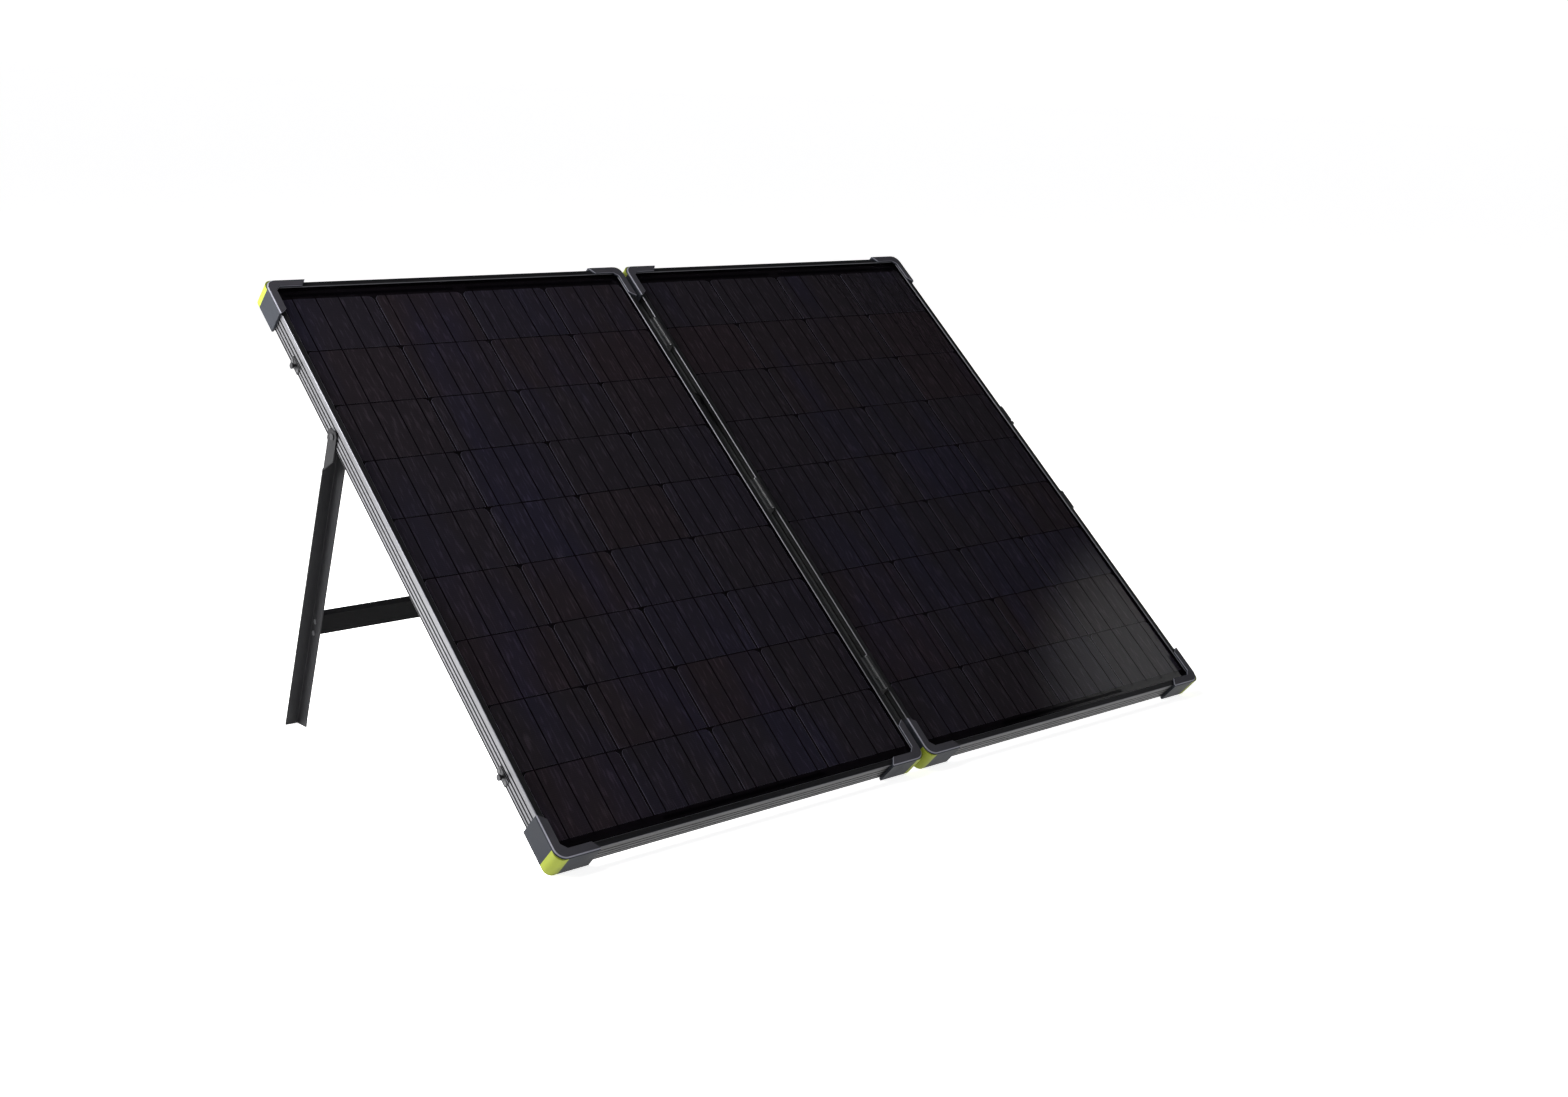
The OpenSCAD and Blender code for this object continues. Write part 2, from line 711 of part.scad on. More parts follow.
frame_outer_rail("left");  // left_frame_outer_rail
frame_hinge_rail("left");  // left_frame_hinge_rail
frame_top_rail("left");  // left_frame_top_rail
frame_bottom_rail("left");  // left_frame_bottom_rail
glass("left");  // left_glass
cell_layer("left");  // left_cell_layer
backsheet("left");  // left_backsheet
edge_seal("left");  // left_edge_seal
corner_keys("left");  // left_corner_keys
junction_box("left");  // left_junction_box
junction_box_lid("left");  // left_junction_box_lid
cable_glands("left");  // left_cable_glands
guard_top_outer("left");  // left_guard_top_outer
guard_top_hinge("left");  // left_guard_top_hinge
guard_bottom_outer("left");  // left_guard_bottom_outer
guard_bottom_hinge("left");  // left_guard_bottom_hinge
guard_inserts("left");  // left_guard_inserts
rivets("left");  // left_rivets
pivot_bolts("left");  // left_pivot_bolts
pivot_nuts("left");  // left_pivot_nuts
leg_outer("left");  // left_leg_outer
leg_hinge("left");  // left_leg_hinge
crossbar("left");  // left_crossbar
stand_rivets("left");  // left_stand_rivets
frame_outer_rail("right");  // right_frame_outer_rail
frame_hinge_rail("right");  // right_frame_hinge_rail
frame_top_rail("right");  // right_frame_top_rail
frame_bottom_rail("right");  // right_frame_bottom_rail
glass("right");  // right_glass
cell_layer("right");  // right_cell_layer
backsheet("right");  // right_backsheet
edge_seal("right");  // right_edge_seal
corner_keys("right");  // right_corner_keys
junction_box("right");  // right_junction_box
junction_box_lid("right");  // right_junction_box_lid
cable_glands("right");  // right_cable_glands
guard_top_outer("right");  // right_guard_top_outer
guard_top_hinge("right");  // right_guard_top_hinge
guard_bottom_outer("right");  // right_guard_bottom_outer
guard_bottom_hinge("right");  // right_guard_bottom_hinge
guard_inserts("right");  // right_guard_inserts
rivets("right");  // right_rivets
pivot_bolts("right");  // right_pivot_bolts
pivot_nuts("right");  // right_pivot_nuts
leg_outer("right");  // right_leg_outer
leg_hinge("right");  // right_leg_hinge
crossbar("right");  // right_crossbar
stand_rivets("right");  // right_stand_rivets
hinge_leaves_left();
hinge_leaves_right();
hinge_pins();
handle_brackets();
handle_bail();
handle_grip();
latch_keepers();
latch_bases();
latch_arm_upper();
latch_arm_lower();
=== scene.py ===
"""Looks for a folding two-panel solar charger: cells, ribbons and materials round the CAD frame.

Lengths are metres. A panel's own directions are ACROSS (both panels side by side), UP (up the
slope) and OUT (out of the glass), measured from the middle of the hinge line.
"""
import json
import math
import random

import bpy
from mathutils import Matrix, Vector


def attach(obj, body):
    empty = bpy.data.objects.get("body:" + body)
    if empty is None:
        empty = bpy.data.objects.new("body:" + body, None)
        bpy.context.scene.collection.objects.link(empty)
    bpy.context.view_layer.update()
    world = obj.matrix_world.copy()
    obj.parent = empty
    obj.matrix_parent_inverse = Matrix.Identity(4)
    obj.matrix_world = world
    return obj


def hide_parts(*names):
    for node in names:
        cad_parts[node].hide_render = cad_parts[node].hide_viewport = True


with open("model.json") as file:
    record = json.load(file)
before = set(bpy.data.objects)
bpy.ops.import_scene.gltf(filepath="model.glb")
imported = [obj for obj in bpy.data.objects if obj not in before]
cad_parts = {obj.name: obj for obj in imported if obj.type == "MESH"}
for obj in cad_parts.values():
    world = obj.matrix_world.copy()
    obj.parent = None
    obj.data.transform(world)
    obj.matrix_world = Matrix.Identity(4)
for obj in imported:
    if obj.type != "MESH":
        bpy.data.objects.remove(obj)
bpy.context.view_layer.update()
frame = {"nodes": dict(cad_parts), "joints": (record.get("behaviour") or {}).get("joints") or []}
MM = 0.001

# ---------- the panel's own directions, from the fold joint ----------

FOLD = next(joint for joint in frame["joints"] if joint["name"] == "panel_fold")
HINGE = Vector(FOLD["pos_m"])
ACROSS = Vector((1, 0, 0))
UP = -Vector(FOLD["axis"]).normalized()
OUT = ACROSS.cross(UP)
TILT = math.atan2(UP.z, UP.y)


def at(across, up, out):
    """Point in the part's own frame for a place on the panels."""
    return HINGE + ACROSS * across + UP * up + OUT * out


def span(node):
    """Lowest and highest (across, up, out) of a CAD node."""
    points = [v.co - HINGE for v in frame["nodes"][node].data.vertices]
    places = [(p.dot(ACROSS), p.dot(UP), p.dot(OUT)) for p in points]
    low = [min(p[i] for p in places) for i in range(3)]
    high = [max(p[i] for p in places) for i in range(3)]
    return low, high


FRAME_FRONT = span("left_frame_outer_rail")[1][2]

# ---------- camera ----------

LENS = 43.112
AZIMUTH = math.radians(40.155)
ELEVATION = math.radians(12.328)
ROLL = math.radians(2.282)
CAMERA_PLACE = Vector((-2.0079, -2.1831, 0.9955))
CAMERA_SHIFT = (0.0658, -0.0346)


def add_camera():
    forward = Vector((math.sin(AZIMUTH) * math.cos(ELEVATION),
                      math.cos(AZIMUTH) * math.cos(ELEVATION), -math.sin(ELEVATION)))
    level_right = Vector((math.cos(AZIMUTH), -math.sin(AZIMUTH), 0))
    level_up = level_right.cross(forward)
    right = level_right * math.cos(ROLL) + level_up * math.sin(ROLL)
    upward = level_up * math.cos(ROLL) - level_right * math.sin(ROLL)
    data = bpy.data.cameras.new("camera")
    data.lens = LENS
    data.sensor_width = 36
    data.shift_x, data.shift_y = CAMERA_SHIFT
    camera = bpy.data.objects.new("camera", data)
    turn = Matrix((right, upward, -forward)).transposed()
    camera.matrix_world = Matrix.Translation(CAMERA_PLACE) @ turn.to_4x4()
    bpy.context.scene.collection.objects.link(camera)
    bpy.context.scene.camera = camera


add_camera()

# ---------- materials ----------


WAVE_LENGTH = 0.314  # from one band of a wave texture to the next, at scale 1


class Shader:
    """A Principled material with a few helpers for procedural detail."""

    def __init__(self, name, rough, metal=0.0, ior=1.5):
        self.material = bpy.data.materials.new(name)
        self.material.use_nodes = True
        self.tree = self.material.node_tree
        self.main = self.tree.nodes["Principled BSDF"]
        self.set(Roughness=rough, Metallic=metal, IOR=ior)
        self.place = self.node("ShaderNodeTexCoord").outputs["Object"]

    def set(self, **values):
        """Uniform values on the shader's own sockets; an underscore in a name stands for a space."""
        for key, value in values.items():
            self.main.inputs[key.replace("_", " ")].default_value = value

    def node(self, kind, **values):
        made = self.tree.nodes.new(kind)
        for key, value in values.items():
            setattr(made, key, value)
        return made

    def link(self, source, target):
        self.tree.links.new(source, target)

    def stretched(self, scale):
        """Object coordinates turned into the panel's own directions, then scaled."""
        turn = self.node("ShaderNodeMapping")
        turn.inputs["Rotation"].default_value = (-TILT, 0, 0)
        self.link(self.place, turn.inputs["Vector"])
        stretch = self.node("ShaderNodeMapping")
        stretch.inputs["Scale"].default_value = scale
        self.link(turn.outputs["Vector"], stretch.inputs["Vector"])
        return stretch.outputs["Vector"]

    def noise(self, scale, where=None, detail=3.0):
        made = self.node("ShaderNodeTexNoise")
        made.inputs["Scale"].default_value = scale
        made.inputs["Detail"].default_value = detail
        self.link(where or self.place, made.inputs["Vector"])
        return made.outputs["Fac"]

    def die_lines(self, along):
        """Fine lines as an extrusion die leaves them, along x (ACROSS), y (UP) or z (OUT)."""
        return self.noise(900, self.stretched(tuple(0.02 if axis == along else 1 for axis in "xyz")), 4)

    def bands(self, scale):
        """Soft bands that lie across the panel and follow one another up the slope."""
        made = self.node("ShaderNodeTexWave", wave_type="BANDS", bands_direction="Y")
        made.inputs["Scale"].default_value = scale
        self.link(self.stretched((1, 1, 1)), made.inputs["Vector"])
        return made.outputs["Fac"]

    def ramp(self, source, stops):
        """Colour ramp from (position, colour) stops."""
        made = self.node("ShaderNodeValToRGB")
        while len(made.color_ramp.elements) < len(stops):
            made.color_ramp.elements.new(0.5)
        for element, (position, colour) in zip(made.color_ramp.elements, stops):
            element.position = position
            element.color = (*colour, 1)
        self.link(source, made.inputs["Fac"])
        return made.outputs["Color"]

    def by_depth(self, stops):
        """Colour from the distance in front of the frame's front face, in millimetres."""
        low, high = stops[0][0], stops[-1][0]
        distance = self.node("ShaderNodeVectorMath", operation="DOT_PRODUCT")
        distance.inputs[1].default_value = OUT
        self.link(self.place, distance.inputs[0])
        front = HINGE.dot(OUT) + FRAME_FRONT
        where = self.range(distance.outputs["Value"], 0, 1, front + low * MM, front + high * MM)
        return self.ramp(where, [((mm - low) / (high - low), colour) for mm, colour in stops])

    def range(self, source, low, high, start=0.3, end=0.7):
        made = self.node("ShaderNodeMapRange")
        made.inputs["From Min"].default_value = start
        made.inputs["From Max"].default_value = end
        made.inputs["To Min"].default_value = low
        made.inputs["To Max"].default_value = high
        self.link(source, made.inputs["Value"])
        return made.outputs["Result"]

    def mix(self, amount, first, second, blend="MIX"):
        made = self.node("ShaderNodeMix", data_type="RGBA", blend_type=blend)
        for socket, value in (("Factor_Float", amount), ("A_Color", first), ("B_Color", second)):
            target = next(i for i in made.inputs if i.identifier == socket)
            if isinstance(value, bpy.types.NodeSocket):
                self.link(value, target)
            elif isinstance(value, tuple):
                target.default_value = (*value, 1)
            else:
                target.default_value = value
        return next(o for o in made.outputs if o.identifier == "Result_Color")

    def colour(self, source):
        self.link(source, self.main.inputs["Base Color"])

    def rough(self, source):
        self.link(source, self.main.inputs["Roughness"])

    def bump(self, source, depth, strength=0.5):
        made = self.node("ShaderNodeBump")
        made.inputs["Strength"].default_value = strength
        made.inputs["Distance"].default_value = depth
        self.link(source, made.inputs["Height"])
        self.link(made.outputs["Normal"], self.main.inputs["Normal"])


def shade(colour, factor):
    return tuple(min(1.0, c * factor) for c in colour)


def extruded_aluminium(name, colour, along, rough=0.5, gloss=0.12):
    """Black anodised section: fine die lines along it and a patchy, subdued sheen."""
    s = Shader(name, rough)
    s.set(Specular_IOR_Level=gloss)
    lines = s.die_lines(along)
    patches = s.noise(9)
    tone = s.ramp(patches, [(0.3, shade(colour, 0.86)), (0.7, shade(colour, 1.12))])
    fine = s.ramp(lines, [(0.35, (0.78, 0.78, 0.78)), (0.65, (1.0, 1.0, 1.0))])
    s.colour(s.mix(1.0, tone, fine, "MULTIPLY"))
    s.rough(s.range(lines, rough - 0.06, rough + 0.1))
    s.bump(lines, 0.00006, 0.35)
    return s.material


# Millimetres, as by_depth takes them.
GROOVES = (-10.4, -17.7, -25, -31.2)  # middle of each side groove
GROOVE_FLOOR, GROOVE_LIP = 1.5, 1.8  # half its width at the floor and at the lip


def rail(name, along, face, side, edge):
    """Frame rail: dark lip, a painted highlight on the bevelled edges, and painted shade in the side
    grooves.
    """
    s = Shader(name, 0.36, 0.7)
    # painted shade: the side grooves get a near-black copy of the side colour
    groove = shade(side, 0.04)
    stops = [(-34, side)]
    for middle in reversed(GROOVES):
        stops += [(middle - GROOVE_LIP, side), (middle - GROOVE_FLOOR, groove),
                  (middle + GROOVE_FLOOR, groove), (middle + GROOVE_LIP, side)]
    # painted highlight: a pale band on the bevels just behind the front face
    stops += [(-1.4, side), (-0.95, edge), (-0.25, edge), (-0.05, face), (1, face)]
    lines = s.die_lines(along)
    fine = s.ramp(lines, [(0.35, (0.72, 0.72, 0.72)), (0.65, (1.0, 1.0, 1.0))])
    patches = s.ramp(s.noise(7), [(0.3, (0.85, 0.85, 0.85)), (0.7, (1.0, 1.0, 1.0))])
    s.colour(s.mix(1.0, s.mix(1.0, s.by_depth(stops), fine, "MULTIPLY"), patches, "MULTIPLY"))
    s.rough(s.range(lines, 0.3, 0.46))
    s.bump(lines, 0.00006, 0.35)
    return s.material


def guard(name, face, side, edge):
    """Moulded guard: grained faces, a painted highlight on the bevelled edges and painted shade on the
    sides.
    """
    s = Shader(name, 0.46)
    s.set(Specular_IOR_Level=0.1)
    # painted shade: the darker side colour on all but the front plate; painted highlight: the edge
    # colour on the plate's bevels
    stops = [(-38, side), (2.3, side), (2.8, edge), (3.8, edge), (3.97, face), (5, face)]
    clouds = s.noise(22, detail=4)
    mottle = s.ramp(clouds, [(0.3, (0.82, 0.82, 0.82)), (0.7, (1.0, 1.0, 1.0))])
    s.colour(s.mix(1.0, s.by_depth(stops), mottle, "MULTIPLY"))
    s.rough(s.range(clouds, 0.4, 0.54))
    s.bump(s.noise(1500, detail=2), 0.00012, 0.45)
    return s.material


def moulded(name, colour, rough=0.5, grain=1500, depth=0.00012, variation=0.12, gloss=0.5):
    """Moulded plastic with a fine spark-eroded grain."""
    s = Shader(name, rough)
    s.set(Specular_IOR_Level=gloss)
    clouds = s.noise(22, detail=4)
    s.colour(s.ramp(clouds, [(0.3, shade(colour, 1 - variation)), (0.7, shade(colour, 1 + variation))]))
    s.rough(s.range(clouds, rough - 0.07, rough + 0.07))
    s.bump(s.noise(grain, detail=2), depth, 0.45)
    return s.material


def painted(name, colour, rough=0.42):
    """Powder-coated steel: soft orange peel and faint scuffs."""
    s = Shader(name, rough, 0.1)
    scuffs = s.noise(260, detail=6)
    s.colour(s.ramp(scuffs, [(0.3, colour), (0.62, shade(colour, 1.25)), (0.75, shade(colour, 1.9))]))
    s.rough(s.range(scuffs, rough - 0.05, rough + 0.12))
    s.bump(s.noise(700, detail=2), 0.0001, 0.4)
    return s.material


def plated(name, colour, rough=0.28):
    """Zinc-plated steel with a slightly cloudy sheen."""
    s = Shader(name, rough, 1.0)
    clouds = s.noise(120, detail=5)
    s.colour(s.ramp(clouds, [(0.3, shade(colour, 0.82)), (0.7, shade(colour, 1.1))]))
    s.rough(s.range(clouds, rough - 0.08, rough + 0.14))
    s.bump(s.noise(900, detail=2), 0.00004, 0.3)
    return s.material


def cover_glass():
    """Clear tempered glass: what lies behind it is seen through a faint dark tint."""
    s = Shader("panel_glass", 0.08, ior=1.45)
    s.set(Specular_IOR_Level=0.0, Alpha=0.06, Base_Color=(0, 0, 0, 1))
    film = s.noise(5, detail=5)
    s.rough(s.range(film, 0.06, 0.14))
    return s.material


def under_glass(s, sheen=0.5):
    """Gloss of the glass face, carried by the layer that is seen through it."""
    s.set(Coat_Weight=sheen, Coat_Roughness=0.0, Coat_IOR=1.5, Specular_IOR_Level=0.0)


FINGER_PITCH = 3.2 * MM


def cell_silicon():
    """Near-black cell: a tone for each cell, cooler patches, printed fingers and short flecks."""
    s = Shader("cell_silicon", 0.45)
    under_glass(s)
    tone = s.node("ShaderNodeAttribute", attribute_name="tone", attribute_type="GEOMETRY")
    own = s.ramp(tone.outputs["Fac"], [(0.0, (0.0160, 0.0120, 0.0146)), (0.35, (0.0145, 0.0122, 0.0150)),
                                       (0.8, (0.0140, 0.0122, 0.0160)), (1.0, (0.0138, 0.0122, 0.0188))])
    patches = s.noise(9, s.stretched((1, 0.3, 1)), 3)
    cool = s.mix(s.range(patches, 0.0, 0.55, 0.5, 0.7), own, (0.0130, 0.0121, 0.0240))
    stripes = s.bands(WAVE_LENGTH / FINGER_PITCH)
    fingers = s.ramp(stripes, [(0.75, (1.0, 1.0, 1.0)), (1.0, (1.15, 1.13, 1.15))])
    lined = s.mix(1.0, cool, fingers, "MULTIPLY")
    flecks = s.ramp(s.noise(300, s.stretched((1, 0.13, 1)), 2),
                    [(0.54, (0.98, 0.98, 0.98)), (0.72, (1.8, 1.7, 1.75))])
    s.colour(s.mix(1.0, lined, flecks, "MULTIPLY"))
    s.rough(s.range(s.noise(40), 0.38, 0.52))
    return s.material


def back_film(name, colour, rough=0.55):
    """Pale polymer film, slightly clouded, with a fine laminated grain."""
    s = Shader(name, rough)
    clouds = s.noise(6, detail=5)
    s.colour(s.ramp(clouds, [(0.3, shade(colour, 0.93)), (0.7, shade(colour, 1.0))]))
    s.rough(s.range(clouds, rough - 0.08, rough + 0.08))
    s.bump(s.noise(500, detail=2), 0.00008, 0.3)
    return s.material


def laminate_black(name, colour, sheen=0.5):
    """Dark sheet or ribbon sealed under the glass."""
    s = Shader(name, 0.5)
    under_glass(s, sheen)
    clouds = s.noise(30, detail=4)
    s.colour(s.ramp(clouds, [(0.3, shade(colour, 0.8)), (0.7, shade(colour, 1.2))]))
    s.rough(s.range(clouds, 0.42, 0.6))
    return s.material


def ribbed_rubber(name, colour):
    """Soft grip with fine moulded ribs across it, with painted shade in the rib valleys."""
    s = Shader(name, 0.7)
    ribs = s.bands(60)
    # painted shade and highlight: the colour follows the ribs, darker in the valleys and lighter on the
    # crests
    s.colour(s.ramp(ribs, [(0.2, shade(colour, 0.7)), (0.8, shade(colour, 1.2))]))
    s.rough(s.range(s.noise(300), 0.62, 0.78))
    s.bump(ribs, 0.0006, 0.8)
    return s.material


# One black anodised finish in three copies: the outer rails' side colour is painted key light, the end
# and hinge rails' side colours are darker for painted shade, and the edge colour is a painted highlight.
RAIL_LIP = (0.018, 0.018, 0.020)
RAIL_SIDE_LIT = (0.165, 0.165, 0.175)
RAIL_END_SHADED = (0.016, 0.016, 0.017)
RAIL_INNER_SHADED = (0.012, 0.012, 0.013)
RAIL_EDGE_HIGHLIGHT = (0.15, 0.15, 0.165)
GUARD_EDGE_HIGHLIGHT = (0.17, 0.17, 0.20)
LEG_BLACK = (0.011, 0.011, 0.012)
lit_side_rail = rail("rail_anodised_long_lit", "y", RAIL_LIP, RAIL_SIDE_LIT, RAIL_EDGE_HIGHLIGHT)
shaded_end_rail = rail("rail_anodised_wide_shaded", "x", RAIL_LIP, RAIL_END_SHADED, shade(RAIL_EDGE_HIGHLIGHT, 0.6))
shaded_inner_rail = rail("rail_anodised_inner_shaded", "y", RAIL_LIP, RAIL_INNER_SHADED, shade(RAIL_EDGE_HIGHLIGHT, 0.8))
leg_black = extruded_aluminium("leg_anodised", LEG_BLACK, "z")
# painted shade: the crossbar takes the legs' anodised black at a quarter of its tone
shaded_bar_black = extruded_aluminium("crossbar_anodised_shaded", shade(LEG_BLACK, 0.25), "x", gloss=0.03)
# the guards' side colour is darker than their face colour as painted shade
guard_grey = guard("guard_moulded", (0.042, 0.041, 0.048), (0.017, 0.019, 0.024), GUARD_EDGE_HIGHLIGHT)
insert_lime = moulded("insert_moulded", (0.18, 0.21, 0.018), 0.55, 900, 0.0001, 0.06, gloss=0.2)
box_black = moulded("box_moulded", (0.018, 0.018, 0.019), 0.55)
lid_black = moulded("lid_moulded", (0.024, 0.024, 0.025), 0.5, 1100)
gland_black = moulded("gland_moulded", (0.014, 0.014, 0.014), 0.4)
bracket_black = moulded("bracket_moulded", (0.026, 0.026, 0.028), 0.48)
hinge_black = painted("hinge_painted", (0.008, 0.008, 0.009), 0.55)
bail_black = painted("bail_painted", (0.022, 0.022, 0.024))
rivet_black = painted("rivet_painted", (0.03, 0.03, 0.032), 0.38)
zinc = plated("zinc_plated", (0.42, 0.42, 0.44))
latch_zinc = plated("latch_plated", (0.05, 0.05, 0.053), 0.34)
key_zinc = plated("key_plated", (0.5, 0.5, 0.5), 0.35)
seal_black = moulded("seal_butyl", (0.006, 0.006, 0.006), 0.6)
film_white = back_film("backsheet_film", (0.50, 0.51, 0.52))
band_black = laminate_black("encapsulant_black", (0.0030, 0.0022, 0.0034))
ribbon_black = laminate_black("ribbon_black", (0.0010, 0.0007, 0.0014), 0.15)
edge_silver = laminate_black("cell_edge_silver", (0.095, 0.09, 0.12))
silicon = cell_silicon()
grip_rubber = ribbed_rubber("grip_ribbed", (0.02, 0.02, 0.02))
glass = cover_glass()

SIDE_NODES = {
    "frame_outer_rail": lit_side_rail, "frame_hinge_rail": shaded_inner_rail, "frame_top_rail": shaded_end_rail,
    "frame_bottom_rail": shaded_end_rail, "glass": glass, "backsheet": film_white,
    "edge_seal": seal_black, "corner_keys": key_zinc, "junction_box": box_black,
    "junction_box_lid": lid_black, "cable_glands": gland_black, "guard_top_outer": guard_grey,
    "guard_top_hinge": guard_grey, "guard_bottom_outer": guard_grey,
    "guard_bottom_hinge": guard_grey, "guard_inserts": insert_lime, "rivets": rivet_black,
    "pivot_bolts": latch_zinc, "pivot_nuts": zinc, "leg_outer": leg_black, "leg_hinge": leg_black,
    "crossbar": shaded_bar_black, "stand_rivets": rivet_black}
SHARED_NODES = {
    "hinge_leaves_left": hinge_black, "hinge_leaves_right": hinge_black, "hinge_pins": zinc,
    "handle_brackets": bracket_black, "handle_bail": bail_black, "handle_grip": grip_rubber,
    "latch_keepers": latch_zinc, "latch_bases": latch_zinc, "latch_arm_upper": latch_zinc,
    "latch_arm_lower": latch_zinc}


def paint(node, material):
    mesh = frame["nodes"][node].data
    mesh.materials.clear()
    mesh.materials.append(material)


for side in ("left", "right"):
    for part, material in SIDE_NODES.items():
        paint(f"{side}_{part}", material)
for node, material in SHARED_NODES.items():
    paint(node, material)

# ---------- the laminate: cells, ribbons and the black sheet behind them ----------

COLUMNS, ROWS = 4, 9
CELL_W, CELL_H = 156.75 * MM, 104 * MM
COLUMN_PITCH, ROW_PITCH = 161.5 * MM, 106 * MM
BOTTOM_BAND = 25.5 * MM  # from the frame's lower edge to the first row
CORNER = 9 * MM  # radius of a cell's two upper corners
CORNER_STEPS = 4
CELL_THICK = 0.3 * MM  # a cell and the rim behind it
RIM = 0.4 * MM  # how far the rim shows at a cell's sides
GLASS_GAP = 0.1 * MM  # between the cells and the front of the CAD layer
BUSBARS = 4
BUSBAR_EDGE = 19.5 * MM  # from a cell's side to the middle of its first busbar
BUSBAR_W = 1.9 * MM
BUSBAR_THICK = 0.05 * MM
LINK_W = 5 * MM  # ribbon that joins two columns
LINK_GAP = 5 * MM  # between it and the cells, bridged by the busbars
NO_TONE = 0.5  # tone of the plates that are not cells


def slabs(name, outlines, low, high, body, material, tones=None):
    """One object of thin flat plates. An outline is a list of (across, up) points."""
    verts, faces, values = [], [], []
    for index, outline in enumerate(outlines):
        count, start = len(outline), len(verts)
        verts += [at(x, y, low) for x, y in outline] + [at(x, y, high) for x, y in outline]
        bottom = [start + i for i in range(count)]
        top = [start + count + i for i in range(count)]
        faces += [bottom[::-1], top]
        faces += [[bottom[i], bottom[(i + 1) % count], top[(i + 1) % count], top[i]]
                  for i in range(count)]
        values += [tones[index] if tones else NO_TONE] * (count + 2)
    mesh = bpy.data.meshes.new(name)
    mesh.from_pydata(verts, [], faces)
    tone = mesh.attributes.new("tone", "FLOAT", "FACE")
    tone.data.foreach_set("value", values)
    mesh.materials.append(material)
    piece = bpy.data.objects.new(name, mesh)
    bpy.context.scene.collection.objects.link(piece)
    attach(piece, body)
    return piece


def rectangle(x0, x1, y0, y1):
    return [(x0, y0), (x1, y0), (x1, y1), (x0, y1)]


def cell_outline(x, y, rim=0.0):
    """A cut cell, square at the bottom and rounded at the top, widened by a rim at its sides."""
    arcs = []
    for centre_x, first in ((x + CELL_W + rim - CORNER, 0), (x - rim + CORNER, math.pi / 2)):
        for step in range(CORNER_STEPS + 1):
            angle = first + step * math.pi / 2 / CORNER_STEPS
            arcs.append((centre_x + CORNER * math.cos(angle),
                         y + CELL_H - CORNER + CORNER * math.sin(angle)))
    return [(x - rim, y), (x + CELL_W + rim, y)] + arcs


def laminate(side):
    """Cells and ribbons stand for the CAD cell layer, inside its own thickness."""
    body = f"{side}_panel"
    low, high = span(f"{side}_cell_layer")
    rail_low, rail_high = span(f"{side}_frame_bottom_rail")
    grid_w = (COLUMNS - 1) * COLUMN_PITCH + CELL_W
    left = (rail_low[0] + rail_high[0] - grid_w) / 2
    bottom = rail_low[1] + BOTTOM_BAND
    top = bottom + (ROWS - 1) * ROW_PITCH + CELL_H
    front = high[2] - GLASS_GAP
    back = front - CELL_THICK

    sheet = slabs(f"{side}_encapsulant", [rectangle(low[0], high[0], low[1], high[1])],
                  low[2], back, body, band_black)
    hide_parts(f"{side}_cell_layer")

    draw = random.Random(f"{side} cells")
    columns = [left + i * COLUMN_PITCH for i in range(COLUMNS)]
    cells = [cell_outline(x, bottom + row * ROW_PITCH) for x in columns for row in range(ROWS)]
    slabs(f"{side}_cells", cells, back + CELL_THICK / 2, front, body, silicon,
          [draw.random() for cell in cells])

    pitch = (CELL_W - 2 * BUSBAR_EDGE) / (BUSBARS - 1)
    centres = [x + BUSBAR_EDGE + i * pitch for x in columns for i in range(BUSBARS)]
    strips = [rectangle(c - BUSBAR_W / 2, c + BUSBAR_W / 2, bottom - LINK_GAP, top + LINK_GAP)
              for c in centres]
    slabs(f"{side}_busbars", strips, front, front + BUSBAR_THICK, body, ribbon_black)

    rims = [cell_outline(x, bottom + row * ROW_PITCH, RIM) for x in columns for row in range(ROWS)]
    slabs(f"{side}_cell_rims", rims, back, back + CELL_THICK / 2, body, edge_silver)

    # The columns are one string: links at the top join 1 to 2 and 3 to 4, and one below joins 2 to 3.
    links = []
    for first, edge, out in ((0, top, 1), (2, top, 1), (1, bottom, -1)):
        y0, y1 = sorted((edge + out * LINK_GAP, edge + out * (LINK_GAP + LINK_W)))
        links.append(rectangle(columns[first] + BUSBAR_EDGE / 2,
                               columns[first + 1] + CELL_W - BUSBAR_EDGE / 2, y0, y1))
    slabs(f"{side}_string_links", links, back, front, body, ribbon_black)


laminate("left")
laminate("right")

# ---------- floor, world and lights ----------

FLOOR_REACH = 400
FLOOR_GLOW = 0.85
SKY = [(0.06, 1.1), (0.3, 0.4), (0.58, 0.03), (1.0, 0.06)]  # (sine of the elevation, brightness)
SKY_BLUE = 1.03
GLOW_PLACE = at(0.7, -0.46, 0)  # where the camera sees the middle of the glow
GLOW_RADIUS = math.radians(5)
GLOW_STRENGTH = 1.6


def add_floor():
    mesh = bpy.data.meshes.new("floor")
    corners = rectangle(-FLOOR_REACH, FLOOR_REACH, -FLOOR_REACH, FLOOR_REACH)
    mesh.from_pydata([(x, y, 0) for x, y in corners], [], [(0, 1, 2, 3)])
    s = Shader("floor_paper", 0.9)
    s.colour(s.ramp(s.noise(0.8), [(0.3, (0.86, 0.86, 0.86)), (0.7, (0.88, 0.88, 0.88))]))
    s.set(Emission_Color=(1, 1, 1, 1), Emission_Strength=FLOOR_GLOW)
    mesh.materials.append(s.material)
    floor = bpy.data.objects.new("floor", mesh)
    bpy.context.scene.collection.objects.link(floor)


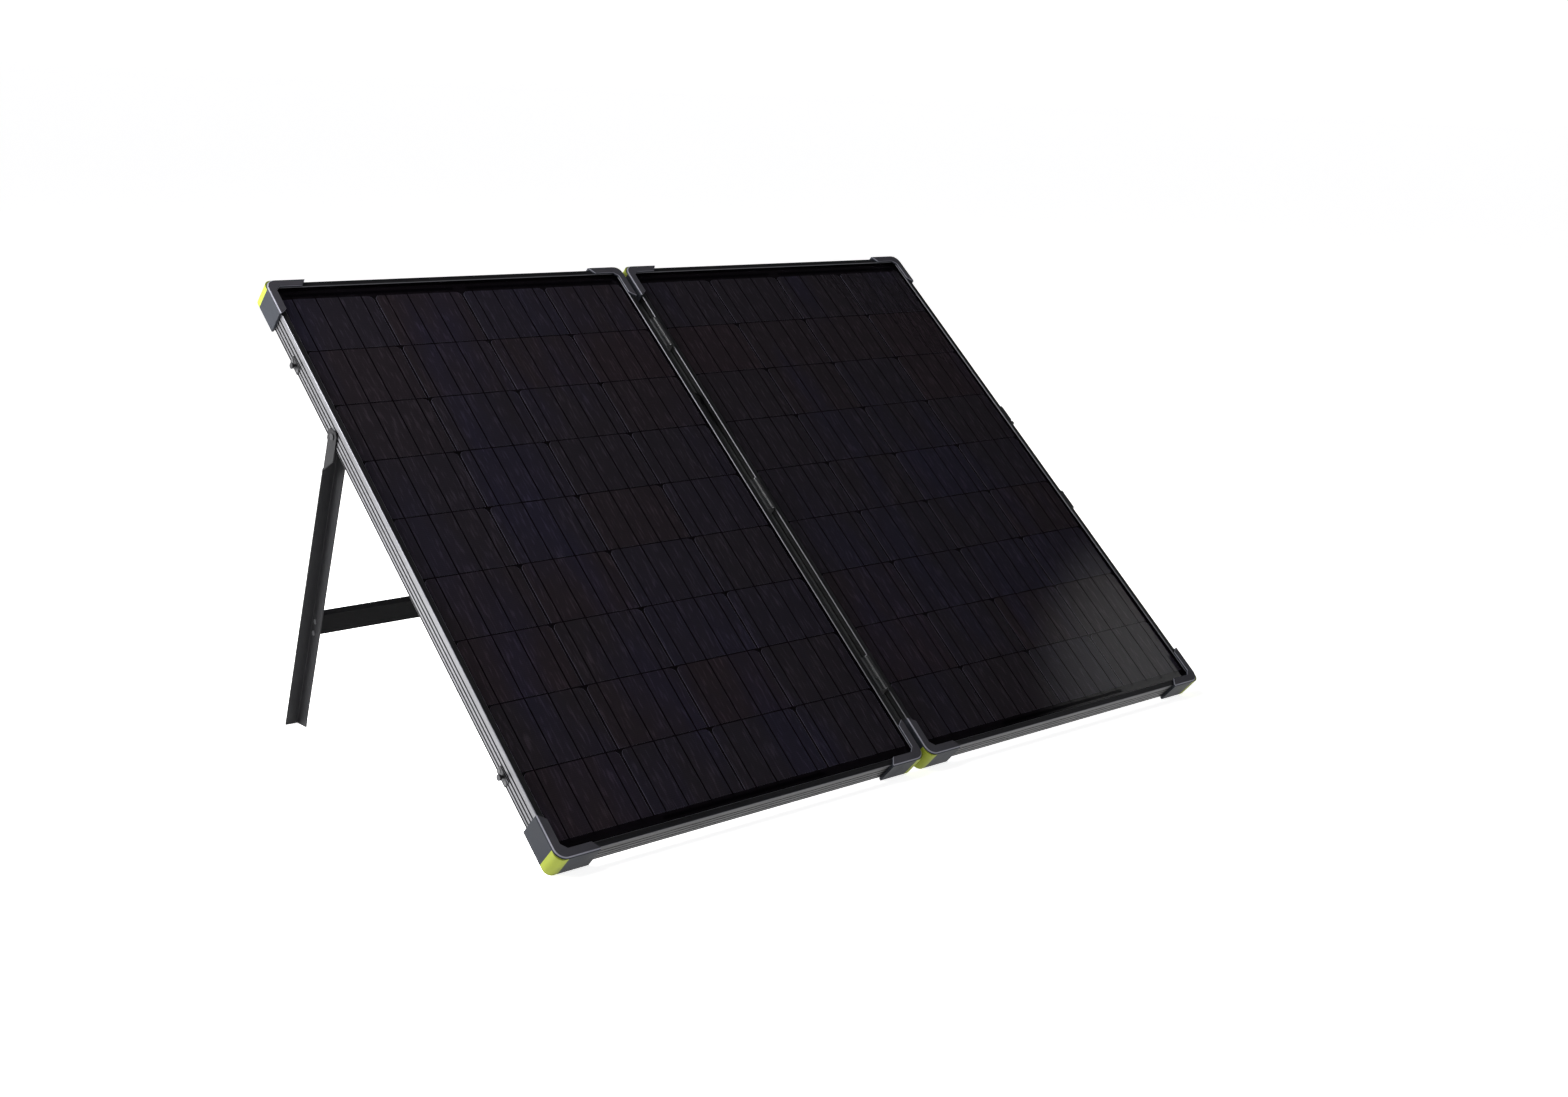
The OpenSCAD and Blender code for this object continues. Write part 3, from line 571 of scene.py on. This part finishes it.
def add_world():
    """Pale horizon, dim overhead, and a soft glow that the right panel's lower corner mirrors."""
    world = bpy.data.worlds.new("world")
    world.use_nodes = True
    bpy.context.scene.world = world
    nodes, link = world.node_tree.nodes, world.node_tree.links.new
    direction = nodes.new("ShaderNodeTexCoord").outputs["Generated"]

    height = nodes.new("ShaderNodeSeparateXYZ")
    ramp = nodes.new("ShaderNodeValToRGB")
    while len(ramp.color_ramp.elements) < len(SKY):
        ramp.color_ramp.elements.new(0.5)
    for element, (position, level) in zip(ramp.color_ramp.elements, SKY):
        element.position = position
        element.color = (level, level, level * SKY_BLUE, 1)
    sky = nodes["Background"]
    link(direction, height.inputs["Vector"])
    link(height.outputs["Z"], ramp.inputs["Fac"])
    link(ramp.outputs["Color"], sky.inputs["Color"])

    seen = (GLOW_PLACE - CAMERA_PLACE).normalized()
    nearness = nodes.new("ShaderNodeVectorMath")
    nearness.operation = "DOT_PRODUCT"
    nearness.inputs[1].default_value = seen - 2 * seen.dot(OUT) * OUT
    glow = nodes.new("ShaderNodeMapRange")
    glow.interpolation_type = "SMOOTHSTEP"
    glow.inputs["From Min"].default_value = math.cos(GLOW_RADIUS)
    glow.inputs["To Max"].default_value = GLOW_STRENGTH
    lamp = nodes.new("ShaderNodeBackground")
    both = nodes.new("ShaderNodeAddShader")
    link(direction, nearness.inputs[0])
    link(nearness.outputs["Value"], glow.inputs["Value"])
    link(glow.outputs["Result"], lamp.inputs["Strength"])
    link(sky.outputs[0], both.inputs[0])
    link(lamp.outputs[0], both.inputs[1])
    link(both.outputs[0], nodes["World Output"].inputs["Surface"])


def add_area_light(name, place, target, size, power):
    data = bpy.data.lights.new(name, "AREA")
    data.shape = "RECTANGLE"
    data.size, data.size_y = size
    data.energy = power
    light = bpy.data.objects.new(name, data)
    light.location = place
    light.rotation_euler = (Vector(target) - Vector(place)).to_track_quat("-Z", "Y").to_euler()
    bpy.context.scene.collection.objects.link(light)


add_floor()
add_world()
add_area_light("key_left", (-1.75, 0.85, 1.1), (-0.7, 0.25, 0.5), (0.9, 0.9), 60)
add_area_light("top_left", (-2.6, 0.9, 3.0), (0, 0.2, 0), (3.0, 3.0), 170)
bpy.context.scene.view_settings.view_transform = "Standard"
